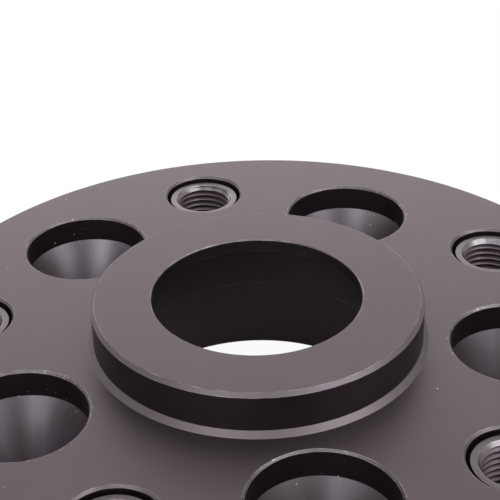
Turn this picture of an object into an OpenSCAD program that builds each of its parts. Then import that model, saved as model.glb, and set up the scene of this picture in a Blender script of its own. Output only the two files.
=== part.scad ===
// Wheel spacer that changes the bolt circle. One turned and milled aluminium plate bolts to the
// hub through five conical-seat pockets, and five steel threaded inserts take the wheel's bolts.
// The rear face lies on z = 0, the axis is Z, and the spigot that centres the wheel points to +Z.

/* [Plate] */
// Outer diameter of the plate
plate_d = 166.4; // [160:0.2:190]
// Thickness from the hub face to the wheel face
plate_t = 26; // [24:0.5:40]
// Bevel on the two outer edges of the plate
plate_bevel = 1; // [0.2:0.1:2]

/* [Wheel spigot] */
// Diameter of the spigot that centres the wheel
spigot_d = 71.5; // [69:0.1:76]
// Height of the spigot above the wheel face
spigot_h = 9.8; // [5:0.1:14]
// Bevel on the leading edge of the spigot
spigot_bevel = 0.8; // [0.2:0.1:2]
// Sloped root that the turning tool leaves at the foot of the spigot
spigot_root = 1.2; // [0.2:0.1:2]

/* [Centre bores] */
// Bore through the lip at the end of the spigot
lip_bore_d = 45.2; // [38:0.1:50]
// Thickness of that lip
lip_t = 3; // [1.5:0.1:6]
// Broken edge around the bore of the lip
lip_edge = 0.2; // [0.1:0.05:1]
// Relief bore behind the lip
relief_d = 53.4; // [51:0.1:62]
// Bore that centres the spacer on the hub
hub_bore_d = 66.6; // [64:0.1:76]
// Depth of the hub bore from the rear face
hub_bore_depth = 21.5; // [12:0.1:23]
// Bevel on the mouth of the hub bore
hub_bore_bevel = 0.2; // [0.1:0.1:2]

/* [Bolt circles] */
// Number of bolts to the hub, and of bolts to the wheel
bolts = 5; // [4:1:6]
// Bolt circle of the hub
hub_pcd = 112; // [110:0.5:118]
// Bolt circle of the wheel
wheel_pcd = 130; // [120:0.5:134]

/* [Hub bolt pockets] */
// Diameter of the pocket that swallows the bolt's head
pocket_d = 28.9; // [25:0.1:32]
// Depth of the straight wall of the pocket
pocket_depth = 6.3; // [3:0.1:9]
// Bevel on the rim of the pocket
pocket_bevel = 0.45; // [0.2:0.05:1]
// Included angle of the conical bolt seat
seat_angle = 60; // [55:1:90]
// Clearance hole for the shank of the bolt
bolt_hole_d = 15; // [13:0.1:18]
// Bevel where the bolt hole meets the hub face
bolt_hole_bevel = 0.5; // [0.2:0.1:1]

/* [Threaded inserts] */
// Nominal diameter of the wheel bolt's thread
thread_d = 14; // [12:0.5:14.5]
// Pitch of the thread
thread_pitch = 1.5; // [1:0.25:2]
// Bore in the plate for the shank of the insert
insert_bore_d = 19; // [18:0.1:21]
// Bevel on the rim of that bore
insert_bore_bevel = 0.5; // [0.2:0.05:1]
// Counterbore in the hub face for the collar of the insert
collar_bore_d = 23; // [22:0.1:26]
// Thickness of the collar
collar_t = 4; // [2:0.1:6]
// Depth of the collar's end below the hub face
collar_recess = 0.3; // [0.1:0.1:1]
// Bevel on the rear edge of the collar
collar_bevel = 0.5; // [0.2:0.1:1]
// Depth of the insert's front end below the wheel face
insert_recess = 1.2; // [0.5:0.1:3]
// Step inwards of the tapered lead at the front of the shank
lead_step = 0.85; // [0.2:0.05:1]
// Length of that lead
lead_len = 2; // [0.5:0.1:4]
// How far each countersunk mouth reaches past the thread's full radius
mouth_margin = 0.25; // [0.1:0.05:0.4]
// Gap all round between an insert and its bore
insert_fit = 0.05; // [0.02:0.01:0.2]

/* [Hidden] */

$fn = 128;
cut = 1;                                  // how far a cutting tool runs past a face
bolt_step = 360 / bolts;                  // angle between two bolts of one circle
first_insert = 90;                        // the first insert lies on +Y
first_pocket = first_insert + bolt_step / 2;
thread_h = thread_pitch * sqrt(3) / 2;    // height of the sharp thread triangle

plate_r = plate_d / 2;
spigot_r = spigot_d / 2;
spigot_top = plate_t + spigot_h;
lip_bore_r = lip_bore_d / 2;
relief_r = relief_d / 2;
hub_bore_r = hub_bore_d / 2;

pocket_r = pocket_d / 2;
bolt_hole_r = bolt_hole_d / 2;
seat_top = plate_t - pocket_depth;
seat_foot = seat_top - (pocket_r - bolt_hole_r) / tan(seat_angle / 2);

insert_bore_r = insert_bore_d / 2;
insert_r = insert_bore_r - insert_fit;
insert_top = plate_t - insert_recess;
collar_bore_r = collar_bore_d / 2;
collar_r = collar_bore_r - insert_fit;
collar_seat = collar_recess + collar_t;
thread_bore_r = thread_d / 2 - thread_h * 5 / 8;
mouth_r = thread_d / 2 + mouth_margin;
mouth_depth = mouth_r - thread_bore_r;

function insert_name(i) = str("threaded_insert_", i);

// Puts its child on a bolt circle, at the given angle from +X
module on_circle(pcd, angle) {
    rotate([0, 0, angle])
        translate([pcd / 2, 0, 0])
            children();
}

// The plate with its spigot and centre bores, as it leaves the lathe
module turned_blank() {
    rotate_extrude()
        polygon([
            [hub_bore_r + hub_bore_bevel, 0],
            [plate_r - plate_bevel, 0],
            [plate_r, plate_bevel],
            [plate_r, plate_t - plate_bevel],
            [plate_r - plate_bevel, plate_t],
            [spigot_r + spigot_root, plate_t],
            [spigot_r, plate_t + spigot_root],
            [spigot_r, spigot_top - spigot_bevel],
            [spigot_r - spigot_bevel, spigot_top],
            [lip_bore_r + lip_edge, spigot_top],
            [lip_bore_r, spigot_top - lip_edge],
            [lip_bore_r, spigot_top - lip_t],
            [relief_r, spigot_top - lip_t],
            [relief_r, hub_bore_depth],
            [hub_bore_r, hub_bore_depth],
            [hub_bore_r, hub_bore_bevel]
        ]);
}

// What is cut away for one hub bolt: bolt hole, conical seat, straight wall and bevelled rim
module pocket_cut() {
    rotate_extrude()
        polygon([
            [0, -cut],
            [bolt_hole_r + bolt_hole_bevel + cut, -cut],
            [bolt_hole_r, bolt_hole_bevel],
            [bolt_hole_r, seat_foot],
            [pocket_r, seat_top],
            [pocket_r, plate_t - pocket_bevel],
            [pocket_r + pocket_bevel + cut, plate_t + cut],
            [0, plate_t + cut]
        ]);
}

// What is cut away for one insert: counterbore for the collar, bore for the shank, bevelled rim
module insert_bore_cut() {
    rotate_extrude()
        polygon([
            [0, -cut],
            [collar_bore_r, -cut],
            [collar_bore_r, collar_seat],
            [insert_bore_r, collar_seat],
            [insert_bore_r, plate_t - insert_bore_bevel],
            [insert_bore_r + insert_bore_bevel + cut, plate_t + cut],
            [0, plate_t + cut]
        ]);
}

// The aluminium plate, one piece
module spacer_body() {
    color("#4b4648")
        difference() {
            turned_blank();
            for (i = [0 : bolts - 1]) {
                on_circle(hub_pcd, first_pocket + i * bolt_step) pocket_cut();
                on_circle(wheel_pcd, first_insert + i * bolt_step) insert_bore_cut();
            }
        }
}

// One steel insert, put in from the rear until its collar meets the counterbore's floor.
// Its bore is the core of the thread, with a countersunk mouth at each end.
module threaded_insert(i) {
    color("#8a8686")
        on_circle(wheel_pcd, first_insert + (i - 1) * bolt_step)
            rotate_extrude()
                polygon([
                    [mouth_r, collar_recess],
                    [collar_r - collar_bevel, collar_recess],
                    [collar_r, collar_recess + collar_bevel],
                    [collar_r, collar_seat],
                    [insert_r, collar_seat],
                    [insert_r, insert_top - lead_len],
                    [insert_r - lead_step, insert_top],
                    [mouth_r, insert_top],
                    [thread_bore_r, insert_top - mouth_depth],
                    [thread_bore_r, collar_recess + mouth_depth]
                ]);
}

spacer_body();
for (i = [1 : bolts])
    threaded_insert(i);
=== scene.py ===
# %% [markdown]
# # A wheel spacer, step by step
# This part bolts between a hub and a wheel. It is one thick aluminium plate, turned on a lathe, drilled
# on a mill and then dyed dark in an anodising bath. Five steel bushes with a thread sit in it.
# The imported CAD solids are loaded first. They give every size, and the pieces made below stand on the
# same origin: the middle of the rear face, with the axis along Z.

# %% Load the solids and keep their box
import math

import bpy
from mathutils import Matrix, Vector


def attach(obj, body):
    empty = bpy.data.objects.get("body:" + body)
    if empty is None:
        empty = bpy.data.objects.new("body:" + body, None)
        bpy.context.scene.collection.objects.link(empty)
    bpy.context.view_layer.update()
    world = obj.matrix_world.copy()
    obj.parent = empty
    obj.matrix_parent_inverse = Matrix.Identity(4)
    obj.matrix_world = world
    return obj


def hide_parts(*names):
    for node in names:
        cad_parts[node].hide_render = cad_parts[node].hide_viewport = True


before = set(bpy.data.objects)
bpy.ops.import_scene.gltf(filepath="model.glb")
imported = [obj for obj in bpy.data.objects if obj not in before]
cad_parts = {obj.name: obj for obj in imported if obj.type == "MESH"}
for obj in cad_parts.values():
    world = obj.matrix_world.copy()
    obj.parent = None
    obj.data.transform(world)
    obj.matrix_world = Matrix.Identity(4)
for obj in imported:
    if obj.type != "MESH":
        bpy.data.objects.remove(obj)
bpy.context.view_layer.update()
print("solids:", ", ".join(sorted(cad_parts)))

# %% [markdown]
# ## The camera
# The picture is a close view, so perspective is strong and the focal length matters. The camera's place
# was solved from the circles in the photograph: rims, bores and pockets whose sizes the CAD knows.
# The view is a crop from a wider picture, and shift_x moves the frame sideways as that crop did.
# Lengths here are in metres and angles in radians, as Blender takes them.

# %% Place the camera
camera_azimuth = math.radians(-11.7466)
camera_reach = 0.22872
camera_height = 0.183569
camera_turn = 0.0504
camera_pitch = 0.5381
camera_roll = -0.0482
image_width = 500
focal_pixels = 1267.77
frame_shift = 0.099

bpy.ops.object.select_all(action="DESELECT")
bpy.ops.object.camera_add()
camera = bpy.context.object
camera.name = "camera"
camera_place = Matrix.Translation((
    camera_reach * math.sin(camera_azimuth),
    -camera_reach * math.cos(camera_azimuth),
    camera_height,
))
camera_heading = Matrix.Rotation(camera_azimuth + camera_turn, 4, "Z")
camera_tilt = Matrix.Rotation(math.pi / 2 - camera_pitch, 4, "X")
camera_lean = Matrix.Rotation(camera_roll, 4, "Z")
camera.matrix_world = camera_place @ camera_heading @ camera_tilt @ camera_lean
camera.data.sensor_width = 36
camera.data.lens = camera.data.sensor_width * focal_pixels / image_width
camera.data.shift_x = frame_shift
bpy.context.scene.camera = camera
print("lens in mm:", round(camera.data.lens, 2))

# %% [markdown]
# ## Helpers for nodes and directions
# The world, the floor and the finishes are all small networks of nodes. Two helpers keep them readable:
# one joins a socket to a link or to a plain value, and one adds a Math node in a single line.
# The third turns an azimuth and an elevation into a direction, for everything that stands round the part.

# %% Node and direction helpers


def join(tree, source, target):
    """Links an output socket to an input socket, or sets a plain value on it."""
    if isinstance(source, bpy.types.NodeSocket):
        tree.links.new(source, target)
    else:
        target.default_value = source


def calculate(tree, operation, *values):
    """A Math node. Each value is a number or the output of another node."""
    node = tree.nodes.new("ShaderNodeMath")
    node.operation = operation
    for socket, value in zip(node.inputs, values):
        join(tree, value, socket)
    return node.outputs[0]


def direction(azimuth, elevation):
    """The unit vector from the part towards a place round it, in degrees. Azimuth 0 is the side of -Y."""
    turn = math.radians(azimuth)
    lift = math.radians(elevation)
    return Vector((
        math.sin(turn) * math.cos(lift),
        -math.cos(turn) * math.cos(lift),
        math.sin(lift),
    ))


print("towards the front:", tuple(direction(0, 0)))

# %% [markdown]
# ## The light tent
# A dark satin metal has hardly any colour of its own: what is seen is the room, dimmed and blurred.
# So the lights are shaped before the finish. The world is plain white, as a light tent is, with a darker
# gap where the camera looks in: the bolt seats mirror it as a soft dark streak. The gap is a round patch
# with a soft edge, found from the angle between each direction and the gap's middle.
# The camera itself always sees the tent as white.

# %% Light tent
gap_azimuth = -11.7
gap_elevation = 30
gap_inner = 10
gap_outer = 26
gap_shade = 0.4

scene = bpy.context.scene
scene.view_settings.view_transform = "Standard"
tent = bpy.data.worlds.new("light_tent")
tent.use_nodes = True
tent_tree = tent.node_tree
tent_light = tent_tree.nodes["Background"]
tent_light.inputs["Color"].default_value = (1, 1, 1, 1)
sky = tent_tree.nodes.new("ShaderNodeTexCoord")
towards_gap = tent_tree.nodes.new("ShaderNodeVectorMath")
towards_gap.operation = "DOT_PRODUCT"
join(tent_tree, sky.outputs["Generated"], towards_gap.inputs[0])
towards_gap.inputs[1].default_value = direction(gap_azimuth, gap_elevation)
gap = tent_tree.nodes.new("ShaderNodeMapRange")
join(tent_tree, towards_gap.outputs["Value"], gap.inputs["Value"])
gap.inputs["From Min"].default_value = math.cos(math.radians(gap_outer))
gap.inputs["From Max"].default_value = math.cos(math.radians(gap_inner))
gap.inputs["To Min"].default_value = 1
gap.inputs["To Max"].default_value = gap_shade
tent_ray = tent_tree.nodes.new("ShaderNodeLightPath")
tent_strength = calculate(tent_tree, "MAXIMUM", gap.outputs["Result"], tent_ray.outputs["Is Camera Ray"])
join(tent_tree, tent_strength, tent_light.inputs["Strength"])
scene.world = tent
print("tent:", tent.name, "with a gap", 2 * gap_outer, "degrees wide")

# %% [markdown]
# ## The softboxes
# A long low softbox behind the part brightens the far side of the plate, where the camera looks along
# the surface. One softbox on each side of the camera puts a light streak beside the dark one in each
# bolt seat. These two are a little cooler than the tent. Area lamps do this better than spots,
# because a satin metal shows the lamp's own shape.

# %% Softboxes
aim_point = Vector((0, 0, 0.02))
softbox_distance = 1.2
warm_white = (1, 0.98, 0.98)
cool_white = (0.9, 0.96, 1)
side_size = (0.7, 0.8)


def softbox(name, azimuth, elevation, size, watts, colour):
    """A rectangular lamp that stands round the part at an azimuth and elevation, and faces it."""
    outwards = direction(azimuth, elevation)
    bpy.ops.object.light_add(type="AREA", location=aim_point + outwards * softbox_distance)
    lamp = bpy.context.object
    lamp.name = name
    lamp.rotation_euler = (-outwards).to_track_quat("-Z", "Y").to_euler()
    lamp.data.shape = "RECTANGLE"
    lamp.data.size = size[0]
    lamp.data.size_y = size[1]
    lamp.data.energy = watts
    lamp.data.color = colour
    lamp.visible_camera = False


softbox("softbox_back", azimuth=177, elevation=20.5, size=(2.0, 0.5), watts=5.6, colour=warm_white)
softbox("softbox_right", azimuth=52, elevation=50, size=side_size, watts=7.5, colour=cool_white)
softbox("softbox_left", azimuth=-36, elevation=40, size=side_size, watts=4.7, colour=cool_white)

# %% [markdown]
# ## The floor
# The photograph's ground is pure white. The floor is a plain pale disc that shows itself as white to the
# camera and to glossy rays, and as a normal matt surface to all other light, so it still takes the
# part's shadow. Under the part itself a reflection has to find the shade that is really there, so
# the glossy trick only starts outside the rim of the plate.

# %% Lay the floor
floor_r = 3
floor_border = 2.5

bpy.ops.object.select_all(action="DESELECT")
bpy.ops.mesh.primitive_circle_add(vertices=96, radius=floor_r, fill_type="NGON")
floor = bpy.context.object
floor.name = "studio_floor"
bpy.ops.object.mode_set(mode="EDIT")
bpy.ops.mesh.inset(thickness=floor_border)
bpy.ops.object.mode_set(mode="OBJECT")
print("floor:", floor.name, "with", len(floor.data.polygons), "faces")

# %% A white look for the camera
shade_edge = 0.082
open_edge = 0.09
white_level = 0.94

floor_finish = bpy.data.materials.new("pale_floor")
floor_finish.use_nodes = True
floor_tree = floor_finish.node_tree
floor_tree.nodes.clear()
matt = floor_tree.nodes.new("ShaderNodeBsdfDiffuse")
matt.inputs["Color"].default_value = (0.8, 0.8, 0.8, 1)
white = floor_tree.nodes.new("ShaderNodeEmission")
white.inputs["Strength"].default_value = 1
ray = floor_tree.nodes.new("ShaderNodeLightPath")
floor_place = floor_tree.nodes.new("ShaderNodeTexCoord")
from_axis = floor_tree.nodes.new("ShaderNodeVectorMath")
from_axis.operation = "LENGTH"
join(floor_tree, floor_place.outputs["Object"], from_axis.inputs[0])
open_floor = floor_tree.nodes.new("ShaderNodeMapRange")
join(floor_tree, from_axis.outputs["Value"], open_floor.inputs["Value"])
open_floor.inputs["From Min"].default_value = shade_edge
open_floor.inputs["From Max"].default_value = open_edge
mirrored = calculate(floor_tree, "MAXIMUM", ray.outputs["Is Glossy Ray"], ray.outputs["Is Transmission Ray"])
mirrored = calculate(floor_tree, "MULTIPLY", mirrored, open_floor.outputs["Result"])
seen = calculate(floor_tree, "MAXIMUM", mirrored, ray.outputs["Is Camera Ray"])
white_share = calculate(floor_tree, "MULTIPLY", seen, white_level)
floor_mix = floor_tree.nodes.new("ShaderNodeMixShader")
floor_out = floor_tree.nodes.new("ShaderNodeOutputMaterial")
join(floor_tree, white_share, floor_mix.inputs["Fac"])
join(floor_tree, matt.outputs["BSDF"], floor_mix.inputs[1])
join(floor_tree, white.outputs["Emission"], floor_mix.inputs[2])
join(floor_tree, floor_mix.outputs["Shader"], floor_out.inputs["Surface"])
floor.data.materials.append(floor_finish)
print("floor finish:", floor_finish.name)

# %% [markdown]
# ## Turning on a lathe
# Every surface of this part is round about some axis: the plate, the pockets, the bores, the bushes.
# On a lathe a tool follows an outline while the work spins. The same thing works here: one vertex is
# extruded from point to point along half of the section, and Spin sweeps that outline round the axis.
# A cylinder with insets would also do, but an outline keeps each bevel and root at its exact size.

# %% Selecting one piece
MM = 0.001
MICRON = 0.000001


def clear_selection():
    """Back to object mode with nothing selected, because operators act on all that is selected."""
    if bpy.context.mode != "OBJECT":
        bpy.ops.object.mode_set(mode="OBJECT")
    bpy.ops.object.select_all(action="DESELECT")


def pick(piece):
    """Selects one piece and makes it the active one."""
    clear_selection()
    piece.select_set(True)
    bpy.context.view_layer.objects.active = piece


def merge_touching():
    """In edit mode, merges points that touch and turns all faces outwards."""
    bpy.ops.mesh.select_all(action="SELECT")
    bpy.ops.mesh.remove_doubles(threshold=MICRON)
    bpy.ops.mesh.normals_make_consistent(inside=False)


# %% Turning an outline


def draw_outline(name, points):
    """A chain of edges through (radius, height) points in mm, in the XZ plane, left in edit mode."""
    clear_selection()
    bpy.ops.mesh.primitive_plane_add(size=MM)
    piece = bpy.context.object
    piece.name = name
    piece.data.name = name
    bpy.ops.object.mode_set(mode="EDIT")
    bpy.ops.mesh.merge(type="CENTER")
    bpy.ops.transform.translate(value=(points[0][0] * MM, 0, points[0][1] * MM))
    for (r0, z0), (r1, z1) in zip(points, points[1:]):
        step = ((r1 - r0) * MM, 0, (z1 - z0) * MM)
        bpy.ops.mesh.extrude_vertices_move(TRANSFORM_OT_translate={"value": step})
    bpy.ops.mesh.select_all(action="SELECT")
    bpy.ops.mesh.remove_doubles(threshold=MICRON)
    return piece


def turn_outline(name, points, steps):
    """Spins an outline one full turn round Z into a closed solid."""
    piece = draw_outline(name, points)
    bpy.ops.mesh.select_all(action="SELECT")
    bpy.ops.mesh.spin(steps=steps, angle=2 * math.pi, center=(0, 0, 0), axis=(0, 0, 1))
    merge_touching()
    bpy.ops.object.mode_set(mode="OBJECT")
    return piece


# %% [markdown]
# ## The plate
# Half of the plate's section, drawn from the mouth of the hub bore outwards: the rear face, the rim with
# a bevel on each edge, the wheel face, the sloped root of the spigot, the spigot with its bevelled lead,
# the lip, the relief behind the lip and the hub bore. The last point repeats the first one, and merging
# the two closes the outline. All sizes from here on are in millimetres.

# %% Turn the plate
plate_steps = 288
plate_r = 83.2
plate_t = 26
plate_bevel = 1
spigot_r = 35.75
spigot_top = 35.8
spigot_bevel = 0.8
spigot_root = 1.2
lip_bore_r = 22.6
lip_edge = 0.2
lip_t = 3
relief_r = 26.7
hub_bore_r = 33.3
hub_bore_depth = 21.5
hub_bore_bevel = 0.2

plate_outline = [
    (hub_bore_r + hub_bore_bevel, 0),
    (plate_r - plate_bevel, 0),
    (plate_r, plate_bevel),
    (plate_r, plate_t - plate_bevel),
    (plate_r - plate_bevel, plate_t),
    (spigot_r + spigot_root, plate_t),
    (spigot_r, plate_t + spigot_root),
    (spigot_r, spigot_top - spigot_bevel),
    (spigot_r - spigot_bevel, spigot_top),
    (lip_bore_r + lip_edge, spigot_top),
    (lip_bore_r, spigot_top - lip_edge),
    (lip_bore_r, spigot_top - lip_t),
    (relief_r, spigot_top - lip_t),
    (relief_r, hub_bore_depth),
    (hub_bore_r, hub_bore_depth),
    (hub_bore_r, hub_bore_bevel),
    (hub_bore_r + hub_bore_bevel, 0),
]
plate = turn_outline("anodised_plate", plate_outline, plate_steps)
print("turned plate:", len(plate.data.polygons), "faces")

# %% [markdown]
# ## The bolt pockets and the bush bores
# On the real part a mill sinks ten holes into the turned plate: five pockets with a conical seat that
# swallow the heads of the hub bolts, and five stepped bores for the bushes. Each cutter is turned from
# its own outline, as the real tool's shape is. The cutters run past both faces, so no thin skin is left.

# %% Outlines of the cutters
past = 1
pocket_r = 14.45
pocket_bevel = 0.45
seat_top = 19.7
seat_slant = math.radians(30)
bolt_hole_r = 7.5
bolt_hole_bevel = 0.5
seat_foot = seat_top - (pocket_r - bolt_hole_r) / math.tan(seat_slant)
pocket_outline = [
    (0, -past),
    (bolt_hole_r + bolt_hole_bevel + past, -past),
    (bolt_hole_r, bolt_hole_bevel),
    (bolt_hole_r, seat_foot),
    (pocket_r, seat_top),
    (pocket_r, plate_t - pocket_bevel),
    (pocket_r + pocket_bevel + past, plate_t + past),
    (0, plate_t + past),
]

bush_bore_r = 9.5
bush_bore_bevel = 0.5
collar_bore_r = 11.5
collar_seat = 4.3
bush_bore_outline = [
    (0, -past),
    (collar_bore_r, -past),
    (collar_bore_r, collar_seat),
    (bush_bore_r, collar_seat),
    (bush_bore_r, plate_t - bush_bore_bevel),
    (bush_bore_r + bush_bore_bevel + past, plate_t + past),
    (0, plate_t + past),
]
print("foot of the seat at", round(seat_foot, 2), "mm")

# %% [markdown]
# Each cutter is copied round its bolt circle. The pockets lie on the hub's circle and the bushes on the
# wheel's larger one, half a step further round. The copies keep their own meshes and are
# put at the origin with their place and turn applied, so no object carries a transform.

# %% Cutters on their bolt circles
bolts = 5
bolt_step = 2 * math.pi / bolts
first_bush = math.pi / 2
first_pocket = first_bush + bolt_step / 2
hub_circle_r = 56
wheel_circle_r = 65
pocket_steps = 144
bush_steps = 112


def copies_on_circle(piece, circle_r, first_angle):
    """Five copies of a piece on a bolt circle, each with its own mesh, and the original removed."""
    copies = []
    for k in range(bolts):
        angle = first_angle + k * bolt_step
        pick(piece)
        bpy.ops.object.duplicate(linked=False)
        copy = bpy.context.object
        copy.name = f"{piece.name}_{k + 1}"
        copy.data.name = copy.name
        copy.rotation_euler = (0, 0, angle)
        copy.location = (circle_r * MM * math.cos(angle), circle_r * MM * math.sin(angle), 0)
        bpy.ops.object.transform_apply(location=True, rotation=True, scale=True)
        copies.append(copy)
    bpy.data.objects.remove(piece, do_unlink=True)
    return copies


pocket_cutter = turn_outline("pocket_cutter", pocket_outline, pocket_steps)
cutters = copies_on_circle(pocket_cutter, hub_circle_r, first_pocket)
bush_cutter = turn_outline("bush_cutter", bush_bore_outline, bush_steps)
cutters += copies_on_circle(bush_cutter, wheel_circle_r, first_bush)
print("cutters:", len(cutters))

# %% [markdown]
# A Boolean then takes all ten cutters away. They don't touch each other, so they are joined into one
# object first and the cut is made once. The exact solver keeps the thin rings at the edges whole.

# %% Cut the plate


def apply_modifier(piece, modifier):
    """Applies one modifier, so that the piece's mesh holds the result."""
    pick(piece)
    bpy.ops.object.modifier_apply(modifier=modifier.name)


def cut_away(piece, tool):
    """Takes the tool's volume out of the piece, removes the tool and merges points that touch."""
    modifier = piece.modifiers.new("cut", "BOOLEAN")
    modifier.operation = "DIFFERENCE"
    modifier.solver = "EXACT"
    modifier.object = tool
    apply_modifier(piece, modifier)
    bpy.data.objects.remove(tool, do_unlink=True)
    bpy.ops.object.mode_set(mode="EDIT")
    merge_touching()
    bpy.ops.object.mode_set(mode="OBJECT")


pick(cutters[0])
for cutter in cutters[1:]:
    cutter.select_set(True)
bpy.ops.object.join()
cut_away(plate, cutters[0])
print("cut plate:", len(plate.data.polygons), "faces")

# %% [markdown]
# ## Broken edges
# No machined edge is perfectly sharp: a deburring pass takes off about a tenth of a millimetre, and that
# narrow round is what catches the light along a rim. A Bevel modifier rounds every edge sharper than
# 20 degrees. Hardened normals keep the flat faces flat in shading, so only the rounds bend the light.

# %% Round the edges
edge_round = 0.08
sharp_edge = math.radians(20)


def break_edges(piece, width, harden):
    """Rounds all sharp edges of a piece by a width in mm."""
    rounding = piece.modifiers.new("broken_edges", "BEVEL")
    rounding.width = width * MM
    rounding.segments = 2
    rounding.limit_method = "ANGLE"
    rounding.angle_limit = sharp_edge
    rounding.harden_normals = harden
    rounding.use_clamp_overlap = False
    apply_modifier(piece, rounding)


pick(plate)
bpy.ops.object.shade_smooth()
break_edges(plate, edge_round, harden=True)
print("plate with broken edges:", len(plate.data.polygons), "faces")

# %% [markdown]
# ## Marking the edges and the walls
# The finish differs over the plate: rims and bevels are rubbed lighter, partly as painted highlight, and
# upright walls get painted shade.
# A shader can't tell a bevel from a face, but the mesh can, by which way each face points. So each face
# gets two numbers, kept on the mesh as attributes that the finish reads later: 0.5 on a bevel and 1 on
# a narrow round, and 1 on a wall. The slope is how far a face points up or down, from 0 to 1.

# %% Face attributes for edges and walls
worn_edge_and_highlight = plate.data.attributes.new("worn_edge_and_highlight", "FLOAT", "FACE")
side_wall = plate.data.attributes.new("side_wall", "FLOAT", "FACE")
flat_slope = 0.995
wall_slope = 0.05
bevel_slope = math.sin(math.radians(45))
bevel_spread = 0.01
root_reach = spigot_r + spigot_root + 2 * edge_round


def in_spigot_root(spot):
    """The hollow corner at the foot of the spigot, where nothing rubs."""
    radius = math.hypot(spot.x, spot.y) / MM
    height = spot.z / MM
    return spigot_r - edge_round < radius < root_reach and height < plate_t + spigot_root + edge_round


def in_seat(spot):
    """The inside of a bolt pocket below its straight wall."""
    return plate_bevel < spot.z / MM < seat_top + edge_round


for face in plate.data.polygons:
    slope = abs(face.normal.z)
    on_flat = slope > flat_slope
    on_wall = slope < wall_slope
    on_bevel = abs(slope - bevel_slope) < bevel_spread
    hollow = in_spigot_root(face.center) or in_seat(face.center)
    side_wall.data[face.index].value = 1.0 if on_wall else 0.0
    if on_bevel:
        worn_edge_and_highlight.data[face.index].value = 0.5
    elif not (on_flat or on_wall or hollow):
        worn_edge_and_highlight.data[face.index].value = 1.0
marked = sum(1 for item in worn_edge_and_highlight.data if item.value > 0)
print("faces on edges:", marked)

# %% [markdown]
# ## The threaded bushes
# Each wheel bolt screws into a steel bush. The bush slides in from the rear until its collar meets the
# floor of the counterbore. Its blank is turned like the plate. Where the bolt goes in, the mouth is
# countersunk, and the front end is tapered a little, which leaves the dark gap seen round it.
# Its edges are broken before the thread is cut, so the Bevel never meets the thread's many small edges.

# %% Turn one bush
bush_r = 9.45
bush_top = 24.8
lead_step = 0.85
lead_len = 2
collar_r = 11.45
collar_end = 0.3
collar_bevel = 0.5
thread_r = 7
thread_pitch = 1.5
thread_core_r = thread_r - thread_pitch * math.sqrt(3) / 2 * 5 / 8
mouth_margin = 0.25
mouth_r = thread_r + mouth_margin
mouth_depth = mouth_r - thread_core_r
bush_edge = 0.1

bush_outline = [
    (mouth_r, collar_end),
    (collar_r - collar_bevel, collar_end),
    (collar_r, collar_end + collar_bevel),
    (collar_r, collar_seat),
    (bush_r, collar_seat),
    (bush_r, bush_top - lead_len),
    (bush_r - lead_step, bush_top),
    (mouth_r, bush_top),
    (thread_core_r, bush_top - mouth_depth),
    (thread_core_r, collar_end + mouth_depth),
    (mouth_r, collar_end),
]
bush = turn_outline("steel_bush", bush_outline, bush_steps)
break_edges(bush, bush_edge, harden=False)
print("turned bush:", len(bush.data.polygons), "faces")

# %% [markdown]
# ## The thread
# A tap cuts a groove that climbs 1.5 mm with every turn. The Screw modifier does just that with a small
# outline: here the tooth of the tap, 60 degrees between its flanks and a narrow flat at its tip.
# Shoulders on the tooth break the sharp crests, which is why real threads show broad light bands.
# The tooth's foot stays inside the bore and is narrower than the pitch, so the turns never touch, and
# the Boolean leaves true flanks, roots and run-outs at the countersunk mouths.

# %% Make a tap
flank = math.radians(30)
tooth_foot_r = 5.9
tooth_foot = 0.72
tooth_tip = thread_pitch / 16
crest_cut = 0.21
crest_r = thread_core_r + crest_cut
crest_half = tooth_tip + (thread_r - crest_r) * math.tan(flank)
shoulder_r = crest_r - (tooth_foot - crest_half)
tap_start = -1.0
tap_turns = 19
tap_steps = 72

upper_side = [
    (thread_r, tooth_tip),
    (crest_r, crest_half),
    (shoulder_r, tooth_foot),
    (tooth_foot_r, tooth_foot),
]
lower_side = [(r, -z) for r, z in reversed(upper_side)]
tooth = [(r, tap_start + z) for r, z in lower_side + upper_side + lower_side[:1]]
tap = draw_outline("tap", tooth)
bpy.ops.object.mode_set(mode="OBJECT")
winding = tap.modifiers.new("winding", "SCREW")
winding.axis = "Z"
winding.angle = 2 * math.pi
winding.screw_offset = thread_pitch * MM
winding.iterations = tap_turns
winding.steps = tap_steps
winding.render_steps = tap_steps
apply_modifier(tap, winding)
bpy.ops.object.mode_set(mode="EDIT")
bpy.ops.mesh.select_all(action="SELECT")
bpy.ops.mesh.remove_doubles(threshold=MICRON)
bpy.ops.mesh.fill_holes(sides=4)
bpy.ops.mesh.select_all(action="SELECT")
bpy.ops.mesh.normals_make_consistent(inside=False)
bpy.ops.object.mode_set(mode="OBJECT")
print("tap:", len(tap.data.polygons), "faces")

# %% Cut the thread and put five bushes in
smooth_angle = math.radians(10)

cut_away(bush, tap)
pick(bush)
bpy.ops.object.shade_smooth_by_angle(angle=smooth_angle)
print("threaded bush:", len(bush.data.polygons), "faces")
bushes = copies_on_circle(bush, wheel_circle_r, first_bush)
print("bushes:", [piece.name for piece in bushes])

# %% [markdown]
# ## Patterns shared by the two metals
# Some marks come from the making and show on both metals, so each is a node group that is built once.
# Nearest hole gives the distance from the closest hole's axis on a bolt circle, in millimetres, and the
# bearing round that axis. With a circle of radius zero it gives the distance from the part's own axis.
# Turning marks are rings that follow such a distance, grain is the fine tooth of the etched surface,
# and dust is a few pale specks.

# %% Helper for node groups
VECTOR = "NodeSocketVector"
NUMBER = "NodeSocketFloat"


def new_group(name, inputs, outputs):
    """An empty shader node group with named sockets."""
    group = bpy.data.node_groups.new(name, "ShaderNodeTree")
    for label, kind in inputs:
        group.interface.new_socket(label, in_out="INPUT", socket_type=kind)
    for label, kind in outputs:
        group.interface.new_socket(label, in_out="OUTPUT", socket_type=kind)
    entry = group.nodes.new("NodeGroupInput")
    leave = group.nodes.new("NodeGroupOutput")
    return group, entry.outputs, leave.inputs


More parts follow.
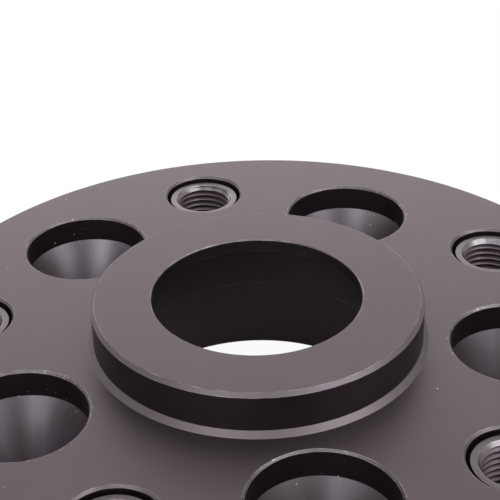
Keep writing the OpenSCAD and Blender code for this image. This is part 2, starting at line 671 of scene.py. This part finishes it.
# %% Node group: nearest hole
hole_group, given, result = new_group(
    "nearest_hole",
    [("Vector", VECTOR), ("Circle Radius", NUMBER), ("First Angle", NUMBER)],
    [("Distance", NUMBER), ("Height", NUMBER), ("Bearing", VECTOR)],
)
axes = hole_group.nodes.new("ShaderNodeSeparateXYZ")
join(hole_group, given["Vector"], axes.inputs[0])
bearing = calculate(hole_group, "ARCTAN2", axes.outputs["Y"], axes.outputs["X"])
bearing = calculate(hole_group, "SUBTRACT", bearing, given["First Angle"])
number = calculate(hole_group, "DIVIDE", bearing, bolt_step)
number = calculate(hole_group, "ROUND", number)
hole_angle = calculate(hole_group, "MULTIPLY_ADD", number, bolt_step, given["First Angle"])
hole_x = calculate(hole_group, "COSINE", hole_angle)
hole_x = calculate(hole_group, "MULTIPLY", hole_x, given["Circle Radius"])
hole_y = calculate(hole_group, "SINE", hole_angle)
hole_y = calculate(hole_group, "MULTIPLY", hole_y, given["Circle Radius"])
off_x = calculate(hole_group, "SUBTRACT", axes.outputs["X"], hole_x)
off_y = calculate(hole_group, "SUBTRACT", axes.outputs["Y"], hole_y)
square = calculate(hole_group, "MULTIPLY", off_x, off_x)
square = calculate(hole_group, "MULTIPLY_ADD", off_y, off_y, square)
distance = calculate(hole_group, "SQRT", square)
join(hole_group, calculate(hole_group, "MULTIPLY", distance, 1 / MM), result["Distance"])
join(hole_group, calculate(hole_group, "MULTIPLY", axes.outputs["Z"], 1 / MM), result["Height"])
bearing_parts = hole_group.nodes.new("ShaderNodeCombineXYZ")
join(hole_group, calculate(hole_group, "DIVIDE", off_x, distance), bearing_parts.inputs["X"])
join(hole_group, calculate(hole_group, "DIVIDE", off_y, distance), bearing_parts.inputs["Y"])
join(hole_group, number, bearing_parts.inputs["Z"])
join(hole_group, bearing_parts.outputs["Vector"], result["Bearing"])
print("group:", hole_group.name, "with", len(hole_group.nodes), "nodes")

# %% Node group: turning marks
ring_group, given, result = new_group(
    "turning_marks",
    [("Distance", NUMBER), ("Spacing", NUMBER)],
    [("Rings", NUMBER)],
)
ring_noise = ring_group.nodes.new("ShaderNodeTexNoise")
ring_noise.noise_dimensions = "1D"
ring_noise.inputs["Scale"].default_value = 1
ring_noise.inputs["Detail"].default_value = 2
join(ring_group, calculate(ring_group, "DIVIDE", given["Distance"], given["Spacing"]), ring_noise.inputs["W"])
join(ring_group, ring_noise.outputs["Fac"], result["Rings"])
print("group:", ring_group.name)

# %% Node group: grain
grain_group, given, result = new_group(
    "etched_grain",
    [("Vector", VECTOR), ("Scale", NUMBER)],
    [("Grain", NUMBER)],
)
grain_noise = grain_group.nodes.new("ShaderNodeTexNoise")
grain_noise.inputs["Detail"].default_value = 3
grain_noise.inputs["Roughness"].default_value = 0.6
join(grain_group, given["Vector"], grain_noise.inputs["Vector"])
join(grain_group, given["Scale"], grain_noise.inputs["Scale"])
join(grain_group, grain_noise.outputs["Fac"], result["Grain"])
print("group:", grain_group.name)

# %% [markdown]
# Dust uses a texture of cells: each cell has a random colour, and its red, green and blue serve as three
# dice. One decides whether the cell holds a speck at all, one its size and one how pale it is.

# %% Node group: dust
dust_group, given, result = new_group(
    "dust_specks",
    [("Vector", VECTOR), ("Scale", NUMBER), ("Size", NUMBER), ("Share", NUMBER)],
    [("Specks", NUMBER)],
)
cells = dust_group.nodes.new("ShaderNodeTexVoronoi")
join(dust_group, given["Vector"], cells.inputs["Vector"])
join(dust_group, given["Scale"], cells.inputs["Scale"])
draw = dust_group.nodes.new("ShaderNodeSeparateColor")
join(dust_group, cells.outputs["Color"], draw.inputs["Color"])
kept = calculate(dust_group, "LESS_THAN", draw.outputs["Red"], given["Share"])
own_size = calculate(dust_group, "MULTIPLY", draw.outputs["Green"], given["Size"])
inside = calculate(dust_group, "LESS_THAN", cells.outputs["Distance"], own_size)
strength = calculate(dust_group, "MULTIPLY", kept, inside)
strength = calculate(dust_group, "MULTIPLY", strength, draw.outputs["Blue"])
join(dust_group, strength, result["Specks"])
print("group:", dust_group.name)

# %% [markdown]
# ## Helpers for the finishes
# Both finishes are built from the same few moves: put a group in, mix two colours by a mask, map a value
# onto another range, read a number from the mesh, and add a bump.

# %% Material helpers


def place_group(tree, group, **values):
    """Puts a node group in a material and joins its inputs. Underscores stand for spaces."""
    node = tree.nodes.new("ShaderNodeGroup")
    node.node_tree = group
    for label, value in values.items():
        join(tree, value, node.inputs[label.replace("_", " ")])
    return node.outputs


def blend_colours(tree, share, first, second):
    """Mixes two colours: first where the share is 0, second where it is 1."""
    node = tree.nodes.new("ShaderNodeMix")
    node.data_type = "RGBA"
    join(tree, share, node.inputs["Factor"])
    join(tree, first, node.inputs[6])
    join(tree, second, node.inputs[7])
    return node.outputs[2]


def spread(tree, value, low, high, start=0.0, end=1.0):
    """Maps a value from the range start to end onto low to high."""
    node = tree.nodes.new("ShaderNodeMapRange")
    join(tree, value, node.inputs["Value"])
    node.inputs["From Min"].default_value = start
    node.inputs["From Max"].default_value = end
    node.inputs["To Min"].default_value = low
    node.inputs["To Max"].default_value = high
    return node.outputs["Result"]


def read_attribute(tree, name):
    """A number that the mesh keeps for each face."""
    node = tree.nodes.new("ShaderNodeAttribute")
    node.attribute_name = name
    return node.outputs["Fac"]


def add_bump(tree, height, microns, below=None):
    """A Bump node with its depth in microns, on top of another bump where one is given."""
    node = tree.nodes.new("ShaderNodeBump")
    node.inputs["Distance"].default_value = microns * MICRON
    join(tree, height, node.inputs["Height"])
    if below is not None:
        join(tree, below, node.inputs["Normal"])
    return node.outputs["Normal"]


# %% [markdown]
# ## The dark anodised finish
# Hard anodising leaves a brown-grey oxide skin on blasted aluminium: it reflects like a dim metal, about
# a tenth of the light, with a satin blur. The Principled shader does this with Metallic at 1 and a dark
# base colour. The patterns come first: clouds and grain all over, turning rings round the axis, rings
# in the conical seats, which a form tool has cut, and painted reflection streaks round each seat.

# %% Anodised aluminium: patterns
anodised = bpy.data.materials.new("dark_anodised_aluminium")
anodised.use_nodes = True
tree = anodised.node_tree
metal = tree.nodes["Principled BSDF"]
place = tree.nodes.new("ShaderNodeTexCoord").outputs["Object"]

axis = place_group(tree, hole_group, Vector=place, Circle_Radius=0.0, First_Angle=0.0)
pocket = place_group(
    tree, hole_group, Vector=place, Circle_Radius=hub_circle_r * MM, First_Angle=first_pocket)
face_rings = place_group(tree, ring_group, Distance=axis["Distance"], Spacing=0.22)["Rings"]
seat_rings = place_group(tree, ring_group, Distance=pocket["Distance"], Spacing=0.05)["Rings"]
cloud = place_group(tree, grain_group, Vector=place, Scale=45.0)["Grain"]
grain = place_group(tree, grain_group, Vector=place, Scale=6000.0)["Grain"]
# Painted reflection streaks: bands of light and dark round each seat's axis.
reflection_streaks = place_group(tree, grain_group, Vector=pocket["Bearing"], Scale=3.2)["Grain"]
print("pattern nodes:", len(tree.nodes))

# %% [markdown]
# Masks say where each look applies. The seat lies inside the pocket's wall, between the seat's foot and
# the wall's foot. The walls, bevels and rims come from the mesh. Rims are worn bare in patches, which also
# paint a highlight along them, and small chips sit where a pocket's bevel meets the wheel face.

# %% Anodised aluminium: seats, walls and worn rims
seat_inset = 0.04
seat_margin = 0.05
chip_reach = 0.6

in_pocket = calculate(tree, "LESS_THAN", pocket["Distance"], pocket_r - seat_inset)
below_wall = calculate(tree, "LESS_THAN", pocket["Height"], seat_top + seat_margin)
above_foot = calculate(tree, "GREATER_THAN", pocket["Height"], seat_foot - seat_margin)
on_seat = calculate(tree, "MULTIPLY", in_pocket, calculate(tree, "MULTIPLY", below_wall, above_foot))

edge = read_attribute(tree, "worn_edge_and_highlight")
wall = read_attribute(tree, "side_wall")
bevel = calculate(tree, "GREATER_THAN", edge, 0.25)
rim = calculate(tree, "GREATER_THAN", edge, 0.75)
edge_patch = place_group(tree, grain_group, Vector=place, Scale=300.0)["Grain"]
rim_wear_and_highlight = calculate(tree, "MULTIPLY", rim, spread(tree, edge_patch, 0.0, 1.0, start=0.4, end=0.7))

from_rim = calculate(tree, "SUBTRACT", pocket["Distance"], pocket_r + pocket_bevel)
near_rim = spread(tree, calculate(tree, "ABSOLUTE", from_rim), 1.0, 0.0, start=0.0, end=chip_reach)
off_wall = calculate(tree, "SUBTRACT", 1.0, wall)
at_front = calculate(tree, "GREATER_THAN", pocket["Height"], seat_top)
near_rim = calculate(tree, "MULTIPLY", near_rim, calculate(tree, "MULTIPLY", off_wall, at_front))
chip_noise = place_group(tree, grain_group, Vector=place, Scale=1100.0)["Grain"]
chips = calculate(tree, "MULTIPLY", near_rim, spread(tree, chip_noise, 0.0, 1.0, start=0.6, end=0.66))
rim_wear_and_highlight = calculate(tree, "MAXIMUM", rim_wear_and_highlight, chips)
print("nodes with masks:", len(tree.nodes))

# %% [markdown]
# Dust lies thinly on every face and gathers in the corner of each pocket, where the wall meets the seat.
# A slow noise lets it drift into clusters there.

# %% Anodised aluminium: dust
dust_start = 0.5
dust_reach = 4

specks = place_group(tree, dust_group, Vector=place, Scale=420.0, Size=0.075, Share=0.07)["Specks"]
from_corner = calculate(tree, "ABSOLUTE", calculate(tree, "SUBTRACT", pocket["Height"], seat_top))
near_corner = spread(tree, from_corner, 1.0, 0.0, start=dust_start, end=dust_reach)
within_wall = calculate(tree, "LESS_THAN", pocket["Distance"], pocket_r + seat_inset)
in_corner = calculate(tree, "MULTIPLY", near_corner, within_wall)
drift = place_group(tree, grain_group, Vector=place, Scale=170.0)["Grain"]
corner_share = calculate(tree, "MULTIPLY", in_corner, spread(tree, drift, 0.0, 1.0, start=0.45, end=0.62))
corner_dust = place_group(tree, dust_group, Vector=place, Scale=1000.0, Size=0.17, Share=corner_share)
specks = calculate(tree, "MAXIMUM", specks, corner_dust["Specks"])
print("nodes with dust:", len(tree.nodes))

# %% [markdown]
# The colours are laid over each other in this order: oxide, painted shade on the walls, lighter seats with
# painted reflection streaks, rubbed bevels and bare metal at the rims, both lightened further as painted
# highlight, and dust on top. Dust is matt and no metal, so it also raises the roughness and lowers Metallic.
# The bumps are only a few microns deep.

# %% Anodised aluminium: colour, roughness and bumps
oxide_dark = (0.102, 0.081, 0.087, 1)
oxide_light = (0.118, 0.094, 0.101, 1)
# This darker oxide tones the turning rings, and on the upright walls it is painted shade.
ring_tone_and_wall_shade = (0.06, 0.045, 0.051, 1)
# The two seat colours are the lit and the shaded ends of painted reflection streaks on the seats' lighter
# oxide.
seat_light_streak = (0.174, 0.147, 0.164, 1)
seat_shade = (0.15, 0.126, 0.141, 1)
# The bevel and rim colours are wear, made lighter still as painted highlight.
rubbed_bevel_and_highlight = (0.117, 0.098, 0.105, 1)
bare_edge_and_highlight = (0.28, 0.258, 0.263, 1)
dust_colour = (0.62, 0.6, 0.61, 1)
seat_polish = -0.07
dust_matt = 0.5

colour = blend_colours(tree, cloud, oxide_dark, oxide_light)
colour = blend_colours(tree, spread(tree, face_rings, 0.0, 0.14, start=0.45, end=0.75), colour, ring_tone_and_wall_shade)
# Painted shade: upright walls are darkened.
colour = blend_colours(tree, wall, colour, ring_tone_and_wall_shade)
# The seats are lighter oxide with painted reflection streaks across them.
reflection_streak_share = spread(tree, reflection_streaks, 0.0, 1.0, start=0.34, end=0.66)
seat_colour = blend_colours(tree, reflection_streak_share, seat_shade, seat_light_streak)
colour = blend_colours(tree, on_seat, colour, seat_colour)
# Rubbed bevels and bare rims: wear, lightened further as painted highlight along the edges.
colour = blend_colours(tree, bevel, colour, rubbed_bevel_and_highlight)
colour = blend_colours(tree, rim_wear_and_highlight, colour, bare_edge_and_highlight)
colour = blend_colours(tree, specks, colour, dust_colour)
join(tree, colour, metal.inputs["Base Color"])

satin = spread(tree, grain, 0.41, 0.49, start=0.3, end=0.7)
satin = calculate(tree, "MULTIPLY_ADD", on_seat, seat_polish, satin)
satin = calculate(tree, "MULTIPLY_ADD", specks, dust_matt, satin)
join(tree, satin, metal.inputs["Roughness"])
join(tree, calculate(tree, "SUBTRACT", 1.0, specks), metal.inputs["Metallic"])

surface = add_bump(tree, grain, 1.5)
surface = add_bump(tree, face_rings, 1.2, surface)
surface = add_bump(tree, calculate(tree, "MULTIPLY", seat_rings, on_seat), 4, surface)
join(tree, surface, metal.inputs["Normal"])
plate.data.materials.clear()
plate.data.materials.append(anodised)
print("finish:", anodised.name, "with", len(tree.nodes), "nodes")

# %% [markdown]
# ## The steel finish
# The bushes are hardened steel with a thin dark plating, a shade lighter than the plate. The tools leave
# rings round each bush's own axis, the countersink and its rim carry painted glints in patches,
# and the thread is duller, with painted shade on its crests and painted light deeper on its flanks.
# The masks are again found from the distance to the bush's axis and the height.

# %% Plated steel: patterns and masks
mouth_skin = 0.02
root_margin = 0.3

steel = bpy.data.materials.new("plated_bush_steel")
steel.use_nodes = True
tree = steel.node_tree
metal = tree.nodes["Principled BSDF"]
place = tree.nodes.new("ShaderNodeTexCoord").outputs["Object"]
metal.inputs["Metallic"].default_value = 1

hole = place_group(
    tree, hole_group, Vector=place, Circle_Radius=wheel_circle_r * MM, First_Angle=first_bush)
rings = place_group(tree, ring_group, Distance=hole["Distance"], Spacing=0.1)["Rings"]
grain = place_group(tree, grain_group, Vector=place, Scale=2500.0)["Grain"]
patch = place_group(tree, grain_group, Vector=place, Scale=700.0)["Grain"]
in_bore = calculate(tree, "LESS_THAN", hole["Distance"], mouth_r + mouth_skin)
above_collar = calculate(tree, "GREATER_THAN", hole["Height"], collar_end + mouth_depth)
below_mouth = calculate(tree, "LESS_THAN", hole["Height"], bush_top - mouth_depth)
in_thread = calculate(tree, "MULTIPLY", in_bore, calculate(tree, "MULTIPLY", above_collar, below_mouth))
in_mouth = calculate(tree, "SUBTRACT", in_bore, in_thread)
from_ridge = calculate(tree, "ABSOLUTE", calculate(tree, "SUBTRACT", hole["Distance"], mouth_r))
ridge = calculate(tree, "LESS_THAN", from_ridge, bush_edge)
# Painted glints: bright patches on the countersink and along its rim.
glint = spread(tree, patch, 0.15, 1.0, start=0.4, end=0.65)
# Painted light on the thread: lighter towards its roots, darker at its crests.
flank_light_share = spread(tree, hole["Distance"], 0.0, 1.0, start=thread_core_r, end=thread_r - root_margin)
print("mask nodes:", len(tree.nodes))

# %% Plated steel: colour, roughness and bumps
steel_dark = (0.112, 0.094, 0.1, 1)
steel_light = (0.15, 0.128, 0.135, 1)
# The bright steel is a painted glint.
steel_glint = (0.215, 0.192, 0.201, 1)
# The crest and flank colours are painted shade and painted light on the thread.
crest_painted_shade = (0.098, 0.075, 0.081, 1)
flank_painted_light = (0.18, 0.137, 0.15, 1)
thread_dullness = 0.18

colour = blend_colours(tree, rings, steel_dark, steel_light)
# The thread gets painted shade on its crests and painted light deeper on its flanks.
colour = blend_colours(tree, in_thread, colour, blend_colours(tree, flank_light_share, crest_painted_shade, flank_painted_light))
# Painted glints in the countersink and on its rim.
colour = blend_colours(tree, calculate(tree, "MULTIPLY", in_mouth, glint), colour, steel_glint)
colour = blend_colours(tree, calculate(tree, "MULTIPLY", ridge, glint), colour, steel_glint)
join(tree, colour, metal.inputs["Base Color"])
satin = spread(tree, grain, 0.26, 0.38, start=0.3, end=0.7)
satin = calculate(tree, "MULTIPLY_ADD", in_thread, thread_dullness, satin)
join(tree, satin, metal.inputs["Roughness"])
surface = add_bump(tree, rings, 4)
surface = add_bump(tree, grain, 2, surface)
join(tree, surface, metal.inputs["Normal"])
for piece in bushes:
    piece.data.materials.clear()
    piece.data.materials.append(steel)
print("finish:", steel.name, "with", len(tree.nodes), "nodes")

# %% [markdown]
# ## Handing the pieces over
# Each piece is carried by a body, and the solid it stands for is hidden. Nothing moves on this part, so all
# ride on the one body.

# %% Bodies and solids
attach(plate, "root")
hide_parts("spacer_body")
for k, piece in enumerate(bushes):
    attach(piece, "root")
    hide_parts(f"threaded_insert_{k + 1}")
print("pieces:", [plate.name] + [piece.name for piece in bushes])
